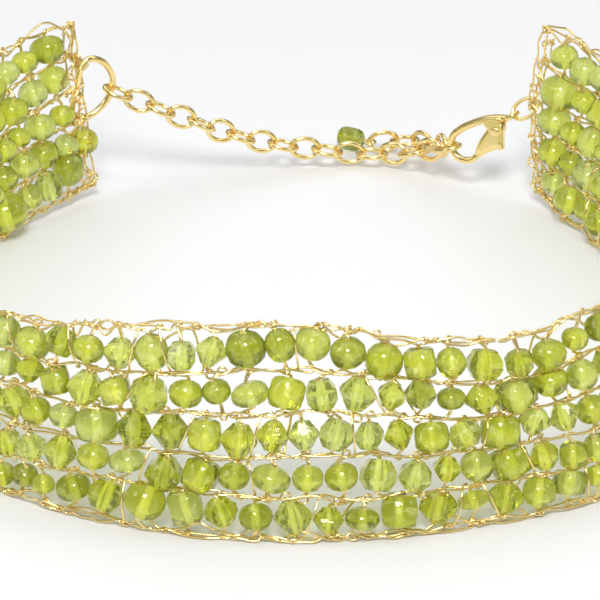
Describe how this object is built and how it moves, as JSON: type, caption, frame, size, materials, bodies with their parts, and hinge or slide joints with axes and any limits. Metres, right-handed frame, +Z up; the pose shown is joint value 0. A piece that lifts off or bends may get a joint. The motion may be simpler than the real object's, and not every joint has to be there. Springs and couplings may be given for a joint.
{
  "type": "beaded choker",
  "caption": "Wide choker band of small mixed glass beads held in crocheted gold wire, closed at the nape by a lobster clasp on an extender chain with a bead drop.",
  "frame": {"origin": "middle of the whole piece from above, on the surface that its lower edge stands on", "axes": "+Z up the neck, -Y to the front of the throat, +Y to the clasp at the nape, +X to the side with the clasp"},
  "size_m": [0.1179, 0.1231, 0.0291],
  "materials": {
    "bead_glass": "clear peridot green glass, polished, some beads faceted",
    "wire_gold": "fine gold-coloured craft wire, bright, slightly kinked",
    "chain_gold": "yellow gold plated, polished"
  },
  "bodies": {
    "choker": {"bead_row_1": "bead_glass", "bead_row_2": "bead_glass", "bead_row_3": "bead_glass", "bead_row_4": "bead_glass", "bead_row_5": "bead_glass", "bottom_edge_wire": "wire_gold", "top_edge_wire": "wire_gold", "end_loop_left": "wire_gold", "end_loop_right": "wire_gold", "d_ring": "chain_gold", "jump_ring": "chain_gold", "clasp_body": "chain_gold", "chain_link_1": "chain_gold", "chain_link_2": "chain_gold", "chain_link_3": "chain_gold", "chain_link_4": "chain_gold", "chain_link_5": "chain_gold", "chain_link_6": "chain_gold", "chain_link_7": "chain_gold", "chain_link_8": "chain_gold", "chain_link_9": "chain_gold", "chain_link_10": "chain_gold", "chain_link_11": "chain_gold", "chain_link_12": "chain_gold", "chain_link_13": "chain_gold", "chain_link_14": "chain_gold", "chain_link_15": "chain_gold", "chain_link_16": "chain_gold", "chain_link_17": "chain_gold", "tail_link_1": "chain_gold", "tail_link_2": "chain_gold", "tail_link_3": "chain_gold", "tail_link_4": "chain_gold", "tail_link_5": "chain_gold", "drop_bead": "bead_glass"},
    "lever": {"clasp_lever": "chain_gold"}
  },
  "joints": [
    {"name": "clasp_lever", "type": "hinge", "parent": "choker", "child": "lever", "pos_m": [0.02897, 0.0436, 0.01068], "axis": [0.4082, 0.8958, -0.176], "range_deg": [0, 25], "stiffness_Nm_per_rad": 0.004, "springref_deg": -5.73}
  ]
}
